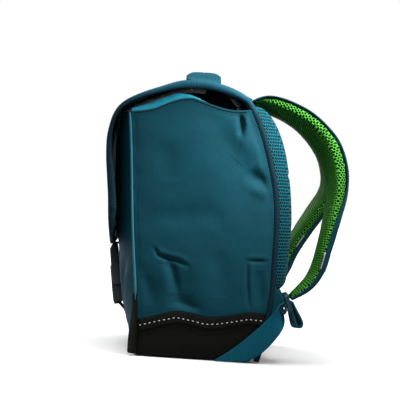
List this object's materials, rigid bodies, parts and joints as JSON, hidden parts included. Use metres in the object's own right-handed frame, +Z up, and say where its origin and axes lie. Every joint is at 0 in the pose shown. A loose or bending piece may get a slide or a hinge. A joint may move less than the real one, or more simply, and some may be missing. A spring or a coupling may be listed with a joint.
{
  "type": "school ransel",
  "caption": "Boxy cloth school bag with a fold-over lid, side-release buckle, dark base tub, padded mesh back, shoulder straps and a top carrying handle.",
  "frame": {"origin": "middle of the base's underside, on the plane the bag stands on", "axes": "+X to the side with the right-hand strap as worn, +Y towards the wearer's back, +Z up"},
  "size_m": [0.2844, 0.3453, 0.401],
  "materials": {
    "petrol_cloth": "matte woven polyester",
    "light_teal_cloth": "matte woven polyester",
    "navy_cloth": "matte woven polyester",
    "binding_tape": "ribbed tape",
    "piping": "satin cord",
    "black_webbing": "ribbed webbing",
    "petrol_webbing": "ribbed webbing",
    "boot_cloth": "coated coarse weave",
    "teal_mesh": "open air mesh on foam",
    "green_mesh": "open air mesh on foam",
    "reflector": "retroreflective film",
    "black_plastic": "moulded, satin",
    "black_lining": "thin smooth lining cloth"
  },
  "bodies": {
    "root": {"side_panel_right": "petrol_cloth", "rim_right": "light_teal_cloth", "side_tape_right": "black_webbing", "corner_guard_right": "boot_cloth", "piping_right": "piping", "edge_binding_right": "binding_tape", "strap_pad_right": "green_mesh", "strap_cover_right": "petrol_cloth", "strap_reflector_right": "reflector", "lower_webbing_right": "petrol_webbing", "ladder_lock_right": "black_plastic", "webbing_tail_right": "petrol_webbing", "corner_wing_right": "navy_cloth", "side_panel_left": "petrol_cloth", "rim_left": "light_teal_cloth", "side_tape_left": "black_webbing", "corner_guard_left": "boot_cloth", "piping_left": "piping", "edge_binding_left": "binding_tape", "strap_pad_left": "green_mesh", "strap_cover_left": "petrol_cloth", "strap_reflector_left": "reflector", "lower_webbing_left": "petrol_webbing", "ladder_lock_left": "black_plastic", "webbing_tail_left": "petrol_webbing", "corner_wing_left": "navy_cloth", "front_panel": "petrol_cloth", "back_wall": "petrol_cloth", "boot": "boot_cloth", "back_pad": "teal_mesh", "lid_top": "petrol_cloth", "lid_front": "navy_cloth", "lid_hem": "binding_tape", "collar": "black_lining", "handle": "light_teal_cloth", "buckle_socket": "black_plastic", "buckle_prong": "black_plastic", "buckle_tongue": "black_webbing", "buckle_anchor": "black_webbing"}
  },
  "joints": []
}
